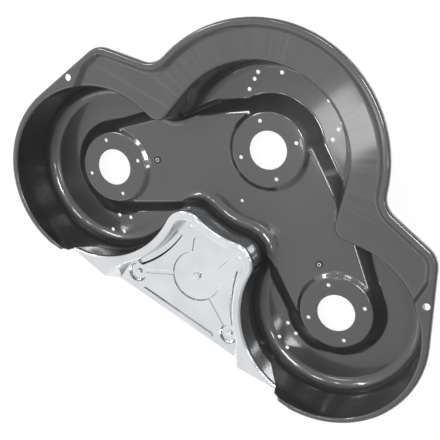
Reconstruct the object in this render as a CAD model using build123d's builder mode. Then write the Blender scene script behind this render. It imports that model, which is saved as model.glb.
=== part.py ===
from math import acos, atan2, cos, degrees, hypot, radians, sin, sqrt, tan
import os

from build123d import *

os.makedirs("parts", exist_ok=True)

# All sizes in mm. The deck lies upside down as photographed: its tops rest on Z = 0 and its
# mouth faces +Z. +Y is the front of the machine, and the two sides mirror each other in X.

# pressed shell
sheet = 2.5
side_x = 325.0
side_y = -160.0
spindle_step = 250.0
centre_y = side_y + spindle_step
lobe_z = sheet
plateau_z = lobe_z + 20.0
pad_z = lobe_z + 28.0
ledge_z = lobe_z + 126.0
flange_z = lobe_z + 138.5

# round walls of the three blade chambers
lobe_r = 201.5
wall_draft = 3.5
foot_round = 30.0
front_tangent = 14.0
side_tangent = 100.0
nose_round = 38.0
bay_corner_round = 58.0

# raised island that carries the spindle pads
pad_r = 86.0
slope = 34.0
edge_inset = 7.4
front_normal = 55.5
side_normal = 48.3
rear_normal = 236.5
pad_round = 10.0
toe_round = 10.0
toe_gap = 8.0
sink = 0.05
slope_foot_round = 12.0
plateau_round = 18.0
bend_round = 120.0
island_tail = 200.0
island_tail_round = 25.0

# rim flange with its ears
rim_r = 298.0
rim_side_r = 227.0
rim_side_y = side_y + 3.5
waist_angle = 12.5
waist_round = 50.0
ear_slope = 11.3
ear_tangent = 26.0
ear_round = 55.0
mouth_round = 6.0
lip_round = 7.0
lip_depth = 12.0
flange_end_x = 350.0
flange_end_y = side_y - 217.5

# ledge along the front of the mouth
ledge_inset = 25.0
ledge_end_x = 443.0
ledge_end_round = 25.0
ledge_back_y = side_y + 150.0
ledge_draft = 40.0
ledge_round = 8.0
ledge_lip_round = 8.0

# rear window that the plate closes
window_z = 60.5
window_foot_x = 262.0
window_knee = (301.0, 114.0)
window_end = (305.5, 133.0)
window_top_x = 327.0
window_front_y = side_y + 66.0

# holes in the shell
spindle_hole_r = 45.0
spindle_pcd = 138.8
spindle_bolts = 4
spindle_bolt_turn = 45.0
spindle_bolt_r = 4.75
ear_hole = (474.1, side_y + 181.0)
ear_hole_r = 8.0
plateau_hole_y = side_y + 107.0
plateau_hole_r = 4.0
lobe_hole_r = 4.75
front_lobe_holes = ((112.0, 136.0), (112.0, 118.0), (112.0, 91.5), (62.0, 163.0))
side_lobe_holes = ((-55.0, -120.0), (-55.0, -166.0), (-85.0, -153.0), (-85.0, -108.0))

# rivet nuts in the island
nut_spot = (232.8, side_y + 77.0)
nut_body_r = 5.5
nut_thread_r = 3.4
nut_head_r = 9.0
nut_bulge_r = 7.6
nut_head = 1.5
nut_length = 11.0
press_gap = 0.05

# rear plate, a hat-shaped pressing
plate_sheet = 2.0
strip_z = 116.5
plate_z = 74.0
skirt_gap = 0.2
skirt_r = lobe_r + (window_z - lobe_z) * tan(radians(wall_draft)) + skirt_gap
skirt_corner_round = bay_corner_round + lobe_r - skirt_r
skirt_tangent = 262.0
skirt_rear_y = side_y - 240.0
strip_round = 8.0
strip_width = 23.5
well_round = 4.0
well_flare = 225.7
flare_round = 50.0
well_top_tail = (224.0, side_y - 260.0)
well_foot_tail = (178.0, side_y - 260.0)
well_foot_inset = 2.5
plate_rear_y = side_y - 228.0
strip_rear_y = side_y - 222.0
wing_x = 202.0
wing_slant = 6.5
seat_gap = 1.0

# forms pressed into the floor of the plate
channel_depth = 8.0
channel_width = 14.0
channel_start = 188.0
channel_end = 221.0
boss_r = 20.0
disc_y = side_y - 102.0
disc_r = 61.0
disc_depth = 4.0
panel_depth = 3.0
panel_round = 8.0
panel_front_y = side_y - 5.0
panel_corner_y = side_y - 20.0
panel_rear_y = side_y - 56.0
panel_front_half = 32.0
panel_corner_half = 48.0
panel_rear_half = 36.0
spoke_start = (55.0, side_y - 131.0)
spoke_end = (124.0, side_y - 174.0)
spoke_width = 8.0
spoke_depth = 2.5
bead_half = 106.0
bead_y = side_y - 215.0
bead_width = 13.0
bead_height = 4.0
press_draft = 30.0

# bolts and holes of the plate
front_hole = (69.2, side_y + 2.0)
front_hole_r = 5.0
rear_bolt = (137.3, side_y - 186.0)
rear_bolt_r = 4.0
rear_head = 13.0
rear_head_height = 5.3
centre_bolt_r = 5.0
centre_head = 17.0
centre_head_height = 6.4
bolt_hole_gap = 0.5
bolt_length = 16.0
head_chamfer = 0.8

# sheet blank that the forms are cut from
cut_top_z = flange_z + 20.0
blank_length = 1260.0
blank_width = 1000.0
blank_depth = 10.0
overrun = 1.0

# how close two points or levels are when they count as one
same_point = 0.01
same_level = 0.1

spindles = ((0.0, centre_y), (side_x, side_y), (-side_x, side_y))


def unit(angle):
    return (cos(radians(angle)), sin(radians(angle)))


def around(centre, radius, angle):
    ux, uy = unit(angle)
    return (centre[0] + radius * ux, centre[1] + radius * uy)


def crossing(p, a, q, b):
    k = a[0] * b[1] - a[1] * b[0]
    s = ((q[0] - p[0]) * b[1] - (q[1] - p[1]) * b[0]) / k
    return (p[0] + a[0] * s, p[1] + a[1] * s)


def both_at(shape, point):
    # vertices at a plan point and at its mirror image
    return [v for v in shape.vertices() if abs(abs(v.X) - point[0]) < same_point
            and abs(v.Y - point[1]) < same_point]


def at_level(edges, z):
    return edges.filter_by_position(Axis.Z, z - same_level, z + same_level)


def skin_shift(skin, turn):
    # plan shift of a corner that turns by this angle when the face moves by the sheet thickness
    return skin * tan(radians(turn / 2))


def heading(start, end):
    return degrees(atan2(end[1] - start[1], end[0] - start[0]))


def bay_corner(r, round_r):
    # centre of the bay's round corner, which touches the front circle and the side circle of radius r
    span = hypot(side_x, spindle_step)
    reach = sqrt((r + round_r) ** 2 - (span / 2) ** 2)
    middle = (side_x / 2, side_y + spindle_step / 2)
    return (middle[0] - reach * spindle_step / span, middle[1] - reach * side_x / span)


def chamber_outline(grow, z):
    r = lobe_r + grow
    side = (side_x, side_y)
    corner_r = bay_corner_round - grow
    corner = bay_corner(r, corner_r)
    from_front = heading((0, centre_y), corner)
    from_side = heading(side, corner)
    p_front = around((0, centre_y), r, front_tangent)
    p_side = around(side, r, side_tangent)
    fx, fy = unit(front_tangent)
    sx, sy = unit(side_tangent)
    nose = crossing(p_front, (fy, -fx), p_side, (-sy, sx))
    with BuildSketch(Plane.XY.offset(z)) as outline:
        with BuildLine():
            CenterArc((0, centre_y), r, front_tangent, 90 - front_tangent)
            Line(p_front, nose)
            Line(nose, p_side)
            ThreePointArc(p_side, around(side, r, 0), around(side, r, -90))
            CenterArc(side, r, from_side, 270 - from_side)
            CenterArc(corner, corner_r, from_side - 180, from_front - from_side + 360)
            CenterArc((0, centre_y), r, -90, from_front + 90)
            mirror(about=Plane.YZ)
        make_face()
        fillet(both_at(outline, nose), nose_round - grow)
    return outline


def chamber(skin, floor, slack=0.0):
    # round-walled hollow with a soft foot; slack lets it stand clear of a twin that is cut from it
    grow = skin_shift(skin, 90 - wall_draft) + (floor - lobe_z) * tan(radians(wall_draft)) + slack
    base = floor - skin - slack
    with BuildPart() as solid:
        add(chamber_outline(grow, base).sketch)
        extrude(amount=cut_top_z - base, taper=-wall_draft)
        fillet(solid.edges().group_by(Axis.Z)[0], foot_round + skin)
    return solid


def island_outline(r, z):
    side = (side_x, side_y)
    p_front = around((0, centre_y), r, front_normal)
    p_side = around(side, r, side_normal)
    p_rear = around(side, r, rear_normal)
    fx, fy = unit(front_normal)
    sx, sy = unit(side_normal)
    rx, ry = unit(rear_normal)
    bend = crossing(p_front, (fy, -fx), p_side, (-sy, sx))
    tail = (p_rear[0] + island_tail * ry, p_rear[1] - island_tail * rx)
    back_y = side_y - pad_r
    with BuildSketch(Plane.XY.offset(z)) as outline:
        with BuildLine():
            CenterArc((0, centre_y), r, front_normal, 90 - front_normal)
            Line(p_front, bend)
            Line(bend, p_side)
            CenterArc(side, r, side_normal, rear_normal - 360 - side_normal)
            Polyline(p_rear, tail, (tail[0], back_y), (0, back_y))
            mirror(about=Plane.YZ)
        make_face()
        fillet(both_at(outline, bend), bend_round)
        fillet(both_at(outline, tail), island_tail_round)
    return outline


def island(skin, floor_r):
    # the raised island on a slab, with soft edges at its foot and along its top
    floor = lobe_z - skin
    with BuildPart() as solid:
        with BuildSketch(Plane.XY.offset(floor)):
            Rectangle(blank_length, blank_width)
        extrude(amount=-blank_depth)
        border = solid.edges().group_by(Axis.Z)[-1]
        add(island_outline(floor_r, floor).sketch)
        extrude(amount=plateau_z - lobe_z, taper=90 - slope)
        foot = [e for e in at_level(solid.edges(), floor)
                if all((e.center() - b.center()).length > overrun for b in border)]
        fillet(foot, slope_foot_round + skin)
        fillet(solid.edges().group_by(Axis.Z)[-1], plateau_round - skin)
    return solid


def pads(skin, flat_r, floor_r):
    # cones from the spindle pads straight down to the chamber floors, sunk a little into them
    top = pad_z - skin
    floor = lobe_z - skin - sink
    foot_r = floor_r + sink / tan(radians(slope))
    out_r = foot_r + 2 * slope_foot_round
    low = floor - sheet
    with BuildPart() as solid:
        for x, y in spindles:
            with BuildSketch(Plane(origin=(x, y, 0), x_dir=(1, 0, 0), z_dir=(0, -1, 0))):
                with BuildLine():
                    FilletPolyline((0, top), (flat_r, top), (foot_r, floor), (out_r, floor),
                                   radius=[pad_round - skin, slope_foot_round + skin])
                    Polyline((out_r, floor), (out_r, low), (0, low), (0, top))
                make_face()
            revolve(axis=Axis((x, y, 0), (0, 0, 1)))
    return solid


def pad_toes(skin, plateau_r):
    # hollow rounding where a pad stands on the plateau, sunk a little so that it crosses both faces
    r = toe_round + skin
    reach = r * tan(radians(slope / 2))
    base = plateau_z - skin - sink
    on_flat = (plateau_r + reach, base)
    on_cone = (plateau_r - reach * cos(radians(slope)), base + reach * sin(radians(slope)))
    middle = (on_flat[0] - r * sin(radians(slope / 2)), base + r * (1 - cos(radians(slope / 2))))
    middle = (middle[0], middle[1] + 2 * sink)
    cut = toe_gap + degrees(acos((plateau_r - edge_inset) / plateau_r))
    turns = ((180 - front_normal, 360 + front_normal), (side_normal, rear_normal),
             (180 - rear_normal, 180 - side_normal))
    with BuildPart() as solid:
        for (x, y), (start, end) in zip(spindles, turns):
            ux, uy = unit(start + cut)
            with BuildSketch(Plane(origin=(x, y, 0), x_dir=(ux, uy, 0), z_dir=(uy, -ux, 0))):
                with BuildLine():
                    ThreePointArc(on_flat, middle, on_cone)
                    Polyline(on_cone, (on_cone[0] - reach, base), (plateau_r, base - reach), on_flat)
                make_face()
            revolve(axis=Axis((x, y, 0), (0, 0, 1)), revolution_arc=end - start - 2 * cut)
    return solid


def rim_outline(inset, z):
    side = (side_x, rim_side_y)
    waist = around((0, centre_y), rim_r, waist_angle)
    p_side = around(side, rim_side_r, ear_tangent)
    tx, ty = unit(ear_tangent)
    ear = crossing(waist, unit(-ear_slope), p_side, (-ty, tx))
    with BuildSketch(Plane.XY.offset(z)) as outline:
        with BuildLine():
            CenterArc((0, centre_y), rim_r, waist_angle, 90 - waist_angle)
            Polyline(waist, ear, p_side)
            CenterArc(side, rim_side_r, ear_tangent, -90 - ear_tangent)
            Line((side_x, rim_side_y - rim_side_r), (0, rim_side_y - rim_side_r))
            mirror(about=Plane.YZ)
        make_face()
        fillet(both_at(outline, waist), waist_round)
        fillet(both_at(outline, ear), ear_round)
        if inset > 0:
            offset(amount=-inset, mode=Mode.REPLACE)
    return outline


def rim_cover(skin):
    # the space above the flange and outside its turned-down lip
    low_z = flange_z - lip_depth
    with BuildPart() as block:
        add(rim_outline(skin, low_z).sketch)
        extrude(amount=lip_depth - skin)
        fillet(block.edges().group_by(Axis.Z)[-1], lip_round - skin)
    with BuildPart() as solid:
        with BuildSketch(Plane.XY.offset(low_z)):
            Rectangle(blank_length, blank_width)
        extrude(amount=cut_top_z - low_z)
        add(block.part, mode=Mode.SUBTRACT)
    return solid


def front_ledge(skin):
    grow = skin_shift(skin, 90 - ledge_draft)
    end_x = ledge_end_x + grow
    with BuildPart() as solid:
        with BuildSketch(Plane.XY.offset(ledge_z - skin)) as outline:
            add(rim_outline(ledge_inset - grow, ledge_z - skin).sketch)
            with Locations((0, ledge_back_y)):
                Rectangle(2 * end_x, 2 * rim_r, align=(Align.CENTER, Align.MIN), mode=Mode.INTERSECT)
            ends = [v for v in outline.vertices() if abs(abs(v.X) - end_x) < same_point]
            fillet([v for v in ends if v.Y > ledge_back_y + overrun], ledge_end_round + grow)
        extrude(amount=cut_top_z - ledge_z, taper=-ledge_draft)
        foot = solid.edges().group_by(Axis.Z)[0]
        fillet([e for e in foot if e.center().Y > ledge_back_y + overrun], ledge_round + skin)
    return solid


def raised(skin):
    # the island with its three pads, and the rounding where it runs into the chamber walls
    shift = skin_shift(skin, slope)
    run = 1 / tan(radians(slope))
    flat_r = pad_r - shift
    plateau_r = flat_r + (pad_z - plateau_z) * run
    floor_r = flat_r + (pad_z - lobe_z) * run
    with BuildPart() as wall_blend:
        add(island_outline(plateau_r - edge_inset, plateau_z - skin).sketch)
        extrude(amount=foot_round + 2 * sheet, taper=90 - slope)
        add(chamber(skin, plateau_z, sink).part, mode=Mode.SUBTRACT)
    with BuildPart() as solid:
        add(island(skin, floor_r - edge_inset).part)
        add(pads(skin, flat_r, floor_r).part)
        add(pad_toes(skin, plateau_r).part)
    return solid, wall_blend


def hollow(skin):
    # the space the shell is pressed around: skin 0 gives its inner face, skin sheet its outer face
    island_form, wall_blend = raised(skin)
    with BuildPart() as solid:
        add(chamber(skin, lobe_z).part)
        add(front_ledge(skin).part)
        fillet(at_level(solid.edges(Select.NEW), ledge_z - skin), ledge_lip_round - skin)
        add(rim_cover(skin).part)
        fillet(at_level(solid.edges(Select.NEW), flange_z - skin), mouth_round - skin)
        add(island_form.part, mode=Mode.SUBTRACT)
        add(wall_blend.part, mode=Mode.SUBTRACT)
    return solid


def window_outline(inset):
    # the window's sides lean outwards, stand up beside the plate's strip and run out over the rim
    knee_x, knee_z = window_knee
    end_x, end_z = window_end
    lean = (window_top_x - end_x) / (flange_z - end_z)
    top_x = end_x + lean * (cut_top_z - end_z)
    with BuildSketch(Plane.XZ.offset(-window_front_y)) as outline:
        with BuildLine():
            Polyline((0, window_z), (window_foot_x - inset, window_z), (knee_x - inset, knee_z),
                     (end_x - inset, end_z), (top_x - inset, cut_top_z), (0, cut_top_z))
            mirror(about=Plane.YZ)
        make_face()
    return outline


def skirt_outline(inset, z):
    r = skirt_r + inset
    corner_r = skirt_corner_round - inset
    side = (side_x, side_y)
    corner = bay_corner(r, corner_r)
    from_front = heading((0, centre_y), corner)
    from_side = heading(side, corner)
    leave = around(side, r, skirt_tangent)
    tx, ty = unit(skirt_tangent)
    rear = crossing(leave, (-ty, tx), (0, skirt_rear_y), (1, 0))
    with BuildSketch(Plane.XY.offset(z)) as outline:
        with BuildLine():
            CenterArc((0, centre_y), r, -90, from_front + 90)
            CenterArc(corner, corner_r, from_side - 180, from_front - from_side + 360)
            CenterArc(side, r, from_side, skirt_tangent - from_side)
            Polyline(leave, rear, (0, rear[1]))
            mirror(about=Plane.YZ)
        make_face()
    return outline


def well_outline(grow, tail, z):
    r = skirt_r + strip_width - grow
    corner_r = skirt_corner_round - strip_width + grow
    side = (side_x, side_y)
    corner = bay_corner(r, corner_r)
    from_front = heading((0, centre_y), corner)
    from_side = heading(side, corner)
    leave = around(side, r, well_flare)
    with BuildSketch(Plane.XY.offset(z)) as outline:
        with BuildLine():
            CenterArc((0, centre_y), r, -90, from_front + 90)
            CenterArc(corner, corner_r, from_side - 180, from_front - from_side + 360)
            CenterArc(side, r, from_side, well_flare - from_side)
            Polyline(leave, (tail[0] + grow, tail[1]), (0, tail[1]))
            mirror(about=Plane.YZ)
        make_face()
        fillet(both_at(outline, leave), flare_round)
    return outline


def plate_block(skin):
    # everything below the plate's upper face (skin 0) or below its lower face (skin plate_sheet)
    grow = skin_shift(skin, 90 - press_draft)
    floor = plate_z - skin
    base = window_z - 2 * skin
    side = (side_x, side_y)
    channel_r = skirt_r + strip_width + well_foot_inset
    inner_r = channel_r + channel_width + grow
    with BuildPart() as well:
        add(well_outline(skin - well_foot_inset, well_foot_tail, floor).sketch)
        add(well_outline(skin, well_top_tail, strip_z + well_round).sketch)
        loft(ruled=True)
    with BuildPart() as solid:
        add(skirt_outline(skin, base).sketch)
        extrude(amount=strip_z - skin - base)
        fillet(solid.edges().group_by(Axis.Z)[-1].sort_by(Axis.Y)[1:], strip_round - skin)
        add(well.part, mode=Mode.SUBTRACT)
        fillet(at_level(solid.edges(Select.NEW), strip_z - skin), well_round - skin)
        with BuildSketch(Plane.XY.offset(floor - channel_depth)):
            with BuildLine():
                CenterArc(side, channel_r, channel_start, channel_end - channel_start)
                CenterArc(side, inner_r, channel_start, channel_end - channel_start)
                Line(around(side, channel_r, channel_start), around(side, inner_r, channel_start))
                Line(around(side, channel_r, channel_end), around(side, inner_r, channel_end))
            make_face()
            with Locations(rear_bolt):
                Circle(boss_r + grow)
            mirror(about=Plane.YZ)
        extrude(amount=channel_depth + overrun, taper=-press_draft, mode=Mode.SUBTRACT)
        with BuildSketch(Plane.XY.offset(floor - disc_depth)):
            with Locations((0, disc_y)):
                Circle(disc_r + grow)
        extrude(amount=disc_depth + overrun, taper=-press_draft, mode=Mode.SUBTRACT)
        with BuildSketch(Plane.XY.offset(floor - panel_depth)) as panel:
            with BuildLine():
                Polyline((0, panel_front_y), (panel_front_half, panel_front_y),
                         (panel_corner_half, panel_corner_y), (panel_rear_half, panel_rear_y),
                         (0, panel_rear_y))
                mirror(about=Plane.YZ)
            make_face()
            fillet(panel.vertices(), panel_round)
            if skin > 0:
                offset(amount=grow, mode=Mode.REPLACE)
        extrude(amount=panel_depth + overrun, taper=-press_draft, mode=Mode.SUBTRACT)
        with BuildSketch(Plane.XY.offset(floor - spoke_depth)):
            with BuildLine():
                Line(spoke_start, spoke_end)
            trace(line_width=spoke_width + 2 * grow)
            mirror(about=Plane.YZ)
        extrude(amount=spoke_depth + overrun, taper=-press_draft, mode=Mode.SUBTRACT)
        with BuildSketch(Plane.XY.offset(floor)):
            with Locations((0, bead_y)):
                SlotOverall(2 * bead_half - 2 * grow, bead_width - 2 * grow)
        extrude(amount=bead_height, taper=press_draft)
    return solid


# pressed shell with the three blade chambers
with BuildPart() as deck_shell:
    add(hollow(sheet).part)
    add(hollow(0).part, mode=Mode.SUBTRACT)
    add(rim_outline(0, -sheet).sketch)
    extrude(amount=flange_z + sheet, mode=Mode.INTERSECT)
    add(window_outline(0).sketch)
    extrude(amount=blank_width, dir=(0, -1, 0), mode=Mode.SUBTRACT)
    with BuildSketch(Plane.XY.offset(flange_z - lip_depth - sheet)):
        for right in (1, -1):
            with Locations((right * (flange_end_x + window_foot_x) / 2, flange_end_y)):
                Rectangle(flange_end_x - window_foot_x, rim_side_r, align=(Align.CENTER, Align.MAX))
    extrude(amount=lip_depth + 2 * sheet, mode=Mode.SUBTRACT)
    for x, y in spindles:
        with BuildSketch():
            with Locations((x, y)):
                Circle(spindle_hole_r)
                with PolarLocations(spindle_pcd / 2, spindle_bolts, start_angle=spindle_bolt_turn):
                    Circle(spindle_bolt_r)
        extrude(amount=cut_top_z, mode=Mode.SUBTRACT)
    with BuildSketch():
        with Locations(ear_hole, (-ear_hole[0], ear_hole[1])):
            Circle(ear_hole_r)
        with Locations(nut_spot, (-nut_spot[0], nut_spot[1])):
            Circle(nut_body_r + press_gap)
        with Locations((0, plateau_hole_y)):
            Circle(plateau_hole_r)
        for x, y in front_lobe_holes:
            with Locations((x, centre_y + y), (-x, centre_y + y)):
                Circle(lobe_hole_r)
        for x, y in side_lobe_holes:
            with Locations((side_x + x, side_y + y), (-side_x - x, side_y + y)):
                Circle(lobe_hole_r)
    extrude(amount=cut_top_z, mode=Mode.SUBTRACT)
deck_shell.part.label = "deck_shell"
export_step(deck_shell.part, "parts/deck_shell.step")

# plate that closes the rear window
with BuildPart() as rear_plate:
    add(plate_block(0).part)
    add(plate_block(plate_sheet).part, mode=Mode.SUBTRACT)
    add(window_outline(seat_gap).sketch)
    extrude(amount=blank_width, dir=(0, -1, 0), mode=Mode.INTERSECT)
    with BuildSketch(Plane.YZ):
        with BuildLine():
            Polyline((plate_rear_y, window_z), (plate_rear_y, plate_z), (strip_rear_y, strip_z),
                     (strip_rear_y, cut_top_z), (window_front_y, cut_top_z), (window_front_y, window_z),
                     close=True)
        make_face()
    extrude(amount=blank_length / 2, both=True, mode=Mode.INTERSECT)
    wing_run = blank_length / 2 - wing_x
    wing_end_y = strip_rear_y + wing_run * tan(radians(wing_slant))
    with BuildSketch(Plane.XY.offset(window_z)):
        with BuildLine():
            Polyline((wing_x, strip_rear_y), (wing_x + wing_run, wing_end_y),
                     (wing_x + wing_run, -blank_width), (wing_x, -blank_width), close=True)
        make_face()
        mirror(about=Plane.YZ)
    extrude(amount=cut_top_z - window_z, mode=Mode.SUBTRACT)
    with BuildSketch(Plane.XY.offset(window_z)):
        with Locations(front_hole, (-front_hole[0], front_hole[1])):
            Circle(front_hole_r)
        with Locations(rear_bolt, (-rear_bolt[0], rear_bolt[1])):
            Circle(rear_bolt_r + bolt_hole_gap)
        with Locations((0, disc_y)):
            Circle(centre_bolt_r + bolt_hole_gap)
    extrude(amount=plate_z - window_z + overrun, mode=Mode.SUBTRACT)
rear_plate.part.label = "rear_plate"
export_step(rear_plate.part, "parts/rear_plate.step")

# threaded rivet nuts set into the island
with BuildPart() as rivet_nuts:
    for right in (1, -1):
        spot = (right * nut_spot[0], nut_spot[1], 0)
        with BuildSketch(Plane(origin=spot, x_dir=(1, 0, 0), z_dir=(0, -1, 0))):
            with BuildLine():
                Polyline((nut_thread_r, plateau_z + nut_head), (nut_head_r, plateau_z + nut_head),
                         (nut_head_r, plateau_z), (nut_body_r, plateau_z), (nut_body_r, plateau_z - sheet),
                         (nut_bulge_r, plateau_z - sheet), (nut_bulge_r, plateau_z - 2 * sheet),
                         (nut_body_r, plateau_z - 3 * sheet), (nut_body_r, plateau_z - nut_length),
                         (nut_thread_r, plateau_z - nut_length), close=True)
            make_face()
        revolve(axis=Axis(spot, (0, 0, 1)))
rivet_nuts.part.label = "rivet_nuts"
export_step(rivet_nuts.part, "parts/rivet_nuts.step")

# bolts at the rear corners of the plate
with BuildPart() as plate_bolts:
    seat = plate_z - channel_depth
    for right in (1, -1):
        spot = (right * rear_bolt[0], rear_bolt[1])
        with BuildSketch(Plane.XY.offset(seat)):
            with Locations(spot):
                RegularPolygon(rear_head / 2, 6, major_radius=False)
        extrude(amount=rear_head_height)
        with BuildSketch(Plane.XY.offset(seat)):
            with Locations(spot):
                Circle(rear_bolt_r)
        extrude(amount=-bolt_length)
    chamfer(plate_bolts.edges().group_by(Axis.Z)[-1], head_chamfer)
plate_bolts.part.label = "plate_bolts"
export_step(plate_bolts.part, "parts/plate_bolts.step")

# bolt in the middle of the plate
with BuildPart() as centre_bolt:
    seat = plate_z - disc_depth
    with BuildSketch(Plane.XY.offset(seat)):
        with Locations((0, disc_y)):
            RegularPolygon(centre_head / 2, 6, major_radius=False)
    extrude(amount=centre_head_height)
    with BuildSketch(Plane.XY.offset(seat)):
        with Locations((0, disc_y)):
            Circle(centre_bolt_r)
    extrude(amount=-bolt_length)
    chamfer(centre_bolt.edges().group_by(Axis.Z)[-1], head_chamfer)
centre_bolt.part.label = "centre_bolt"
export_step(centre_bolt.part, "parts/centre_bolt.step")
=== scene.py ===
import math

import bmesh
import bpy
from mathutils import Matrix, Vector


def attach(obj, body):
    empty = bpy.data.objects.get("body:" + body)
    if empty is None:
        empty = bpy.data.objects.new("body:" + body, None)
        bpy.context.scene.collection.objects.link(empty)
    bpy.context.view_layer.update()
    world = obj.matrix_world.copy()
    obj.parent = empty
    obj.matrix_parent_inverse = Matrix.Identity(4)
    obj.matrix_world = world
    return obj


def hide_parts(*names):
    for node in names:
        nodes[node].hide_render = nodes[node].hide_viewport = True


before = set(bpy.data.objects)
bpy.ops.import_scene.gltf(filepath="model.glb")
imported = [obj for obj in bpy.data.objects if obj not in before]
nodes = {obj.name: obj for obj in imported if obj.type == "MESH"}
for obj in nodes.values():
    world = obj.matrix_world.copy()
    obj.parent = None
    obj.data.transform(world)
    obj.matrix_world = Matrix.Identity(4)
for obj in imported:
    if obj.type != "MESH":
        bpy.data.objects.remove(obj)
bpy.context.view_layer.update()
scene = bpy.context.scene
scene.view_settings.view_transform = "Standard"
print("frame loaded:", sorted(nodes))


# helpers for the node trees
def newMaterial(name):
    material = bpy.data.materials.new(name)
    material.use_nodes = True
    tree = material.node_tree
    return material, tree, tree.nodes["Principled BSDF"]


def addNode(tree, kind, **settings):
    node = tree.nodes.new(kind)
    for key, value in settings.items():
        setattr(node, key, value)
    return node


def objectCoords(tree):
    return addNode(tree, "ShaderNodeTexCoord").outputs["Object"]


def splitCoords(tree):
    split = addNode(tree, "ShaderNodeSeparateXYZ")
    tree.links.new(objectCoords(tree), split.inputs["Vector"])
    return split.outputs["X"], split.outputs["Y"], split.outputs["Z"]


def noise(tree, vector, scale, detail):
    node = addNode(tree, "ShaderNodeTexNoise")
    node.inputs["Scale"].default_value = scale
    node.inputs["Detail"].default_value = detail
    tree.links.new(vector, node.inputs["Vector"])
    return node.outputs["Fac"]


def ramp(tree, value, places, colours):
    node = addNode(tree, "ShaderNodeValToRGB")
    for element, place, colour in zip(node.color_ramp.elements, places, colours):
        element.position = place
        element.color = (*colour, 1.0)
    tree.links.new(value, node.inputs["Fac"])
    return node.outputs["Color"]


def mapRange(tree, value, low, high, start=0.0, end=1.0):
    node = addNode(tree, "ShaderNodeMapRange")
    node.inputs["From Min"].default_value = start
    node.inputs["From Max"].default_value = end
    node.inputs["To Min"].default_value = low
    node.inputs["To Max"].default_value = high
    tree.links.new(value, node.inputs["Value"])
    return node.outputs["Result"]


def maths(tree, operation, first, second=0.0):
    node = addNode(tree, "ShaderNodeMath", operation=operation)
    for socket, value in zip(node.inputs, (first, second)):
        if isinstance(value, float):
            socket.default_value = value
        else:
            tree.links.new(value, socket)
    return node.outputs["Value"]


def squareSum(tree, first, second):
    return maths(tree, "ADD", maths(tree, "POWER", first, 2.0), maths(tree, "POWER", second, 2.0))


def bump(tree, height, distance, strength, below=None):
    node = addNode(tree, "ShaderNodeBump")
    node.inputs["Distance"].default_value = distance
    tree.links.new(height, node.inputs["Height"])
    if isinstance(strength, float):
        node.inputs["Strength"].default_value = strength
    else:
        tree.links.new(strength, node.inputs["Strength"])
    if below is not None:
        tree.links.new(below, node.inputs["Normal"])
    return node.outputs["Normal"]


# black dipped paint of the shell
paint = {
    "dark": (0.010, 0.010, 0.010),
    "light": (0.014, 0.014, 0.014),
    "cloudScale": 14.0,
    "cloudDetail": 4.0,
    "cloudStops": (0.3, 0.7),
    "roughness": (0.32, 0.40),
    "grainScale": 60.0,
    "grainDetail": 3.0,
    "specular": 0.5,
    "coat": 1.0,
    "coatRoughness": 0.09,
    "peelScale": 420.0,
    "peelDepth": 0.00006,
    "peelStrength": 0.3,
    "waveScale": 9.0,
    "waveDepth": 0.0006,
    "waveStrength": 0.5,
    "waveDetail": 1.0,
}

# the drawn sheet of the front ledge falls a little outwards and ripples along its length
ledge = {
    "height": 0.1285,
    "margin": 0.0008,
    "centre": 0.09,
    "fall": 0.052,
    "ripple": 7.0,
    "rippleDetail": 2.0,
    "rippleDepth": 0.006,
}


def ledgeRipple(tree, below):
    across, depth, height = splitCoords(tree)
    along = maths(tree, "SUBTRACT", depth, ledge["centre"])
    turn = maths(tree, "ARCTAN2", along, across)
    reach = maths(tree, "POWER", squareSum(tree, along, across), 0.5)
    rippling = addNode(tree, "ShaderNodeTexNoise", noise_dimensions="1D")
    rippling.inputs["Scale"].default_value = ledge["ripple"]
    rippling.inputs["Detail"].default_value = ledge["rippleDetail"]
    tree.links.new(turn, rippling.inputs["W"])
    rise = maths(tree, "MULTIPLY", rippling.outputs["Fac"], ledge["rippleDepth"])
    fall = maths(tree, "MULTIPLY", reach, ledge["fall"])
    form = maths(tree, "SUBTRACT", rise, fall)
    away = maths(tree, "ABSOLUTE", maths(tree, "SUBTRACT", height, ledge["height"]))
    onLedge = maths(tree, "LESS_THAN", away, ledge["margin"])
    return bump(tree, form, 1.0, onLedge, below)


def shellPaint():
    material, tree, shader = newMaterial("blackPaint")
    spot = objectCoords(tree)
    cloud = noise(tree, spot, paint["cloudScale"], paint["cloudDetail"])
    colour = ramp(tree, cloud, paint["cloudStops"], (paint["dark"], paint["light"]))
    tree.links.new(colour, shader.inputs["Base Color"])
    grain = noise(tree, spot, paint["grainScale"], paint["grainDetail"])
    tree.links.new(mapRange(tree, grain, *paint["roughness"]), shader.inputs["Roughness"])
    wave = noise(tree, spot, paint["waveScale"], paint["waveDetail"])
    waved = bump(tree, wave, paint["waveDepth"], paint["waveStrength"])
    peel = noise(tree, spot, paint["peelScale"], paint["waveDetail"])
    rippled = ledgeRipple(tree, waved)
    peeled = bump(tree, peel, paint["peelDepth"], paint["peelStrength"], rippled)
    tree.links.new(peeled, shader.inputs["Normal"])
    shader.inputs["Specular IOR Level"].default_value = paint["specular"]
    shader.inputs["Coat Weight"].default_value = paint["coat"]
    shader.inputs["Coat Roughness"].default_value = paint["coatRoughness"]
    return material


# bright zinc of the plate
zinc = {
    "pale": (0.52, 0.535, 0.55),
    "dull": (0.46, 0.475, 0.495),
    "cloudScale": 12.0,
    "cloudDetail": 5.0,
    "cloudStops": (0.3, 0.65),
    "roughness": (0.11, 0.17),
    "spangleScale": 60.0,
    "spangleDetail": 3.0,
    "fineScale": 300.0,
    "fineDetail": 2.0,
    "fineDepth": 0.0001,
    "fineStrength": 0.15,
}


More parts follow.
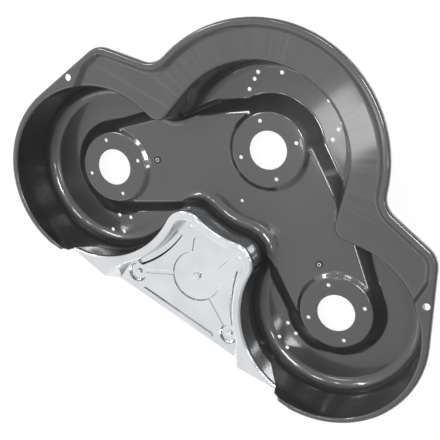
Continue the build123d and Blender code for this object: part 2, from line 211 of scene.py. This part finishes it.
def plateZinc():
    material, tree, shader = newMaterial("brightZinc")
    spot = objectCoords(tree)
    cloud = noise(tree, spot, zinc["cloudScale"], zinc["cloudDetail"])
    colour = ramp(tree, cloud, zinc["cloudStops"], (zinc["dull"], zinc["pale"]))
    tree.links.new(colour, shader.inputs["Base Color"])
    spangle = noise(tree, spot, zinc["spangleScale"], zinc["spangleDetail"])
    tree.links.new(mapRange(tree, spangle, *zinc["roughness"]), shader.inputs["Roughness"])
    fine = noise(tree, spot, zinc["fineScale"], zinc["fineDetail"])
    roughened = bump(tree, fine, zinc["fineDepth"], zinc["fineStrength"])
    tree.links.new(roughened, shader.inputs["Normal"])
    shader.inputs["Metallic"].default_value = 1.0
    return material


# plated steel of the bolts
hardware = {
    "pale": (0.62, 0.62, 0.60),
    "dark": (0.40, 0.40, 0.39),
    "cloudScale": 160.0,
    "cloudDetail": 4.0,
    "cloudStops": (0.3, 0.7),
    "roughness": (0.22, 0.38),
}


def platedSteel():
    material, tree, shader = newMaterial("platedSteel")
    cloud = noise(tree, objectCoords(tree), hardware["cloudScale"], hardware["cloudDetail"])
    colour = ramp(tree, cloud, hardware["cloudStops"], (hardware["dark"], hardware["pale"]))
    tree.links.new(colour, shader.inputs["Base Color"])
    tree.links.new(mapRange(tree, cloud, *hardware["roughness"]), shader.inputs["Roughness"])
    shader.inputs["Metallic"].default_value = 1.0
    return material


# rivet nuts: black heads, with the bore painted bright as a painted glint at the centre of each nut
nut = {
    "place": (0.2328, -0.083),
    "bore": 0.0044,
    "head": (0.006, 0.006, 0.006),
    # bore colour: a pale metal painted in as the glint at each nut's centre
    "glintBore": (0.75, 0.75, 0.74),
    "roughness": (0.32, 0.46),
    "grainScale": 300.0,
    "grainDetail": 3.0,
}


def nutFinishAndGlint():
    material, tree, shader = newMaterial("nutFinishAndGlint")
    x, y, z = splitCoords(tree)
    across = maths(tree, "SUBTRACT", maths(tree, "ABSOLUTE", x), nut["place"][0])
    along = maths(tree, "SUBTRACT", y, nut["place"][1])
    glintBore = maths(tree, "LESS_THAN", squareSum(tree, across, along), nut["bore"] ** 2)
    # the bore gets the pale colour, a painted highlight for the glint at the nut's centre; the head
    # stays black
    colour = ramp(tree, glintBore, (0.0, 1.0), (nut["head"], nut["glintBore"]))
    tree.links.new(colour, shader.inputs["Base Color"])
    tree.links.new(glintBore, shader.inputs["Metallic"])
    grain = noise(tree, objectCoords(tree), nut["grainScale"], nut["grainDetail"])
    tree.links.new(mapRange(tree, grain, *nut["roughness"]), shader.inputs["Roughness"])
    return material


# skin of the shell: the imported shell, with the steeper pad cones of the two side chambers
skin = {
    "spindle": (0.325, -0.160),
    "padRadius": 0.086,
    "padHeight": 0.0316,
    "coneRun": 0.038,
    "fade": 0.040,
    "pull": 0.0125,
    "start": (-100.0, -70.0),
    "frontNormal": 48.3,
    "frontRun": 0.1,
    "weld": 0.00001,
    "sharpAngle": 32.0,
}


def easeStep(value, low, high):
    share = min(max((value - low) / (high - low), 0.0), 1.0)
    return share * share * (3.0 - 2.0 * share)


# how far a point of a cone or island slope moves in towards its pad
def conePull(point):
    side = math.copysign(1.0, point.x)
    across = point.x * side - skin["spindle"][0]
    along = point.y - skin["spindle"][1]
    turn = math.degrees(math.atan2(along, across))
    facing = math.radians(min(turn, skin["frontNormal"]))
    way = Vector((math.cos(facing), math.sin(facing), 0))
    beyond = across * way.x + along * way.y - skin["padRadius"]
    past = along * way.x - across * way.y
    if point.z > skin["padHeight"] or beyond < 0.0:
        return Vector((0, 0, 0))
    run = skin["coneRun"]
    share = easeStep(turn, *skin["start"]) * (1.0 - easeStep(past, 0.0, skin["frontRun"]))
    share *= min(beyond / run, 1.0) * (1.0 - easeStep(beyond, run, run + skin["fade"]))
    way.x *= side
    return way * (-skin["pull"] * share)


def shellSkin(material):
    form = bmesh.new()
    form.from_mesh(nodes["deck_shell"].data)
    bmesh.ops.remove_doubles(form, verts=form.verts, dist=skin["weld"])
    for vert in form.verts:
        vert.co += conePull(vert.co)
    for face in form.faces:
        face.smooth = True
    mesh = bpy.data.meshes.new("deckSkin")
    form.to_mesh(mesh)
    form.free()
    for name in ("custom_normal", "UVMap"):
        if name in mesh.attributes:
            mesh.attributes.remove(mesh.attributes[name])
    mesh.set_sharp_from_angle(angle=math.radians(skin["sharpAngle"]))
    mesh.materials.clear()
    mesh.materials.append(material)
    piece = bpy.data.objects.new("deckSkin", mesh)
    scene.collection.objects.link(piece)
    weigh = piece.modifiers.new("weigh", "WEIGHTED_NORMAL")
    weigh.keep_sharp = True
    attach(piece, "root")
    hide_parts("deck_shell")
    print("skin:", len(mesh.polygons), "faces")


def dress(names, material):
    for name in names:
        mesh = nodes[name].data
        mesh.materials.clear()
        mesh.materials.append(material)


blackPaint = shellPaint()
dress(["deck_shell"], blackPaint)
shellSkin(blackPaint)
dress(["rear_plate"], plateZinc())
dress(["rivet_nuts"], nutFinishAndGlint())
dress(["plate_bolts", "centre_bolt"], platedSteel())
print("finishes set")

# camera at the photograph's angle
view = {
    "place": (0.3492, 0.6597, 1.6901),
    "right": (0.82009795, 0.42417889, -0.38407243),
    "up": (-0.53651688, 0.8033732, -0.25834305),
    "back": (0.19896983, 0.41792795, 0.88642385),
    "lens": 63.98,
    "sensor": 36.0,
}


def addCamera():
    lensData = bpy.data.cameras.new("camera")
    lensData.lens = view["lens"]
    lensData.sensor_width = view["sensor"]
    camera = bpy.data.objects.new("camera", lensData)
    scene.collection.objects.link(camera)
    turn = Matrix((view["right"], view["up"], view["back"])).transposed().to_4x4()
    camera.matrix_world = Matrix.Translation(view["place"]) @ turn
    scene.camera = camera


addCamera()

# floor, sky and lamps; a lamp's place is its turn and lift in degrees and its reach in metres
studio = {
    "floorSize": 14.0,
    "floorDrop": 0.0006,
    "floorTone": (0.9, 0.9, 0.9, 1),
    "floorRoughness": 0.8,
    "floorGlow": 0.90,
    "skySide": (-0.6, -0.6, 0.5),
    "skyReach": (0.1, 0.8),
    "skyGlow": (0.72, 1.40),
    "lamps": {
        "front": {"turn": 55.0, "lift": 60.0, "reach": 2.6, "size": (0.75, 0.42), "glow": 32.0},
        "frontLeft": {"turn": 105.0, "lift": 53.0, "reach": 2.6, "size": (0.5, 0.2), "glow": 30.0},
        "left": {"turn": 165.0, "lift": 47.0, "reach": 2.6, "size": (0.22, 0.8), "glow": 28.0},
        "top": {"turn": 243.0, "lift": 80.5, "reach": 2.4, "size": (0.32, 0.32), "glow": 8.0},
        "right": {"turn": 15.0, "lift": 58.0, "reach": 2.6, "size": (0.16, 0.3), "glow": 26.0},
        "frontLow": {"turn": 75.0, "lift": 14.0, "reach": 2.6, "size": (0.6, 0.08), "glow": 26.0},
        "leftHigh": {"turn": 135.0, "lift": 56.0, "reach": 2.6, "size": (0.14, 0.3), "glow": 24.0},
        "rear": {"turn": 250.0, "lift": 40.0, "reach": 2.6, "size": (2.0, 0.12), "glow": 5.0},
    },
}


def seenDirectly(tree):
    path = addNode(tree, "ShaderNodeLightPath")
    return maths(tree, "MAXIMUM", path.outputs["Is Camera Ray"], path.outputs["Is Transmission Ray"])


def addFloor():
    material, tree, shader = newMaterial("paleFloor")
    shader.inputs["Base Color"].default_value = studio["floorTone"]
    shader.inputs["Roughness"].default_value = studio["floorRoughness"]
    glow = addNode(tree, "ShaderNodeEmission")
    mix = addNode(tree, "ShaderNodeMixShader")
    share = maths(tree, "MULTIPLY", seenDirectly(tree), studio["floorGlow"])
    tree.links.new(share, mix.inputs["Fac"])
    tree.links.new(shader.outputs["BSDF"], mix.inputs[1])
    tree.links.new(glow.outputs["Emission"], mix.inputs[2])
    tree.links.new(mix.outputs["Shader"], tree.nodes["Material Output"].inputs["Surface"])
    place = (0, 0, -studio["floorDrop"])
    bpy.ops.mesh.primitive_plane_add(size=studio["floorSize"], location=place)
    floor = bpy.context.object
    floor.name = "floor"
    floor.data.materials.append(material)


def addSky():
    world = bpy.data.worlds.new("studio")
    scene.world = world
    world.use_nodes = True
    tree = world.node_tree
    sky = tree.nodes["Background"]
    sky.inputs["Color"].default_value = (1, 1, 1, 1)
    coords = addNode(tree, "ShaderNodeTexCoord")
    side = addNode(tree, "ShaderNodeVectorMath", operation="DOT_PRODUCT")
    side.inputs[1].default_value = studio["skySide"]
    tree.links.new(coords.outputs["Generated"], side.inputs[0])
    level = mapRange(tree, side.outputs["Value"], *studio["skyGlow"], *studio["skyReach"])
    pick = addNode(tree, "ShaderNodeMix", data_type="FLOAT")
    tree.links.new(seenDirectly(tree), pick.inputs[0])
    tree.links.new(level, pick.inputs[2])
    pick.inputs[3].default_value = 1.0
    tree.links.new(pick.outputs[0], sky.inputs["Strength"])


def addLamp(name, lamp):
    wide, tall = lamp["size"]
    data = bpy.data.lights.new(name, "AREA")
    data.shape = "RECTANGLE"
    data.size = wide
    data.size_y = tall
    data.energy = math.pi * wide * tall * lamp["glow"]
    turn = math.radians(lamp["turn"])
    lift = math.radians(lamp["lift"])
    level = math.cos(lift)
    way = Vector((level * math.cos(turn), level * math.sin(turn), math.sin(lift)))
    item = bpy.data.objects.new(name, data)
    scene.collection.objects.link(item)
    item.rotation_euler = (-way).to_track_quat("-Z", "Y").to_euler()
    item.location = way * lamp["reach"]


addFloor()
addSky()
for name, lamp in studio["lamps"].items():
    addLamp(name, lamp)
print("studio set")
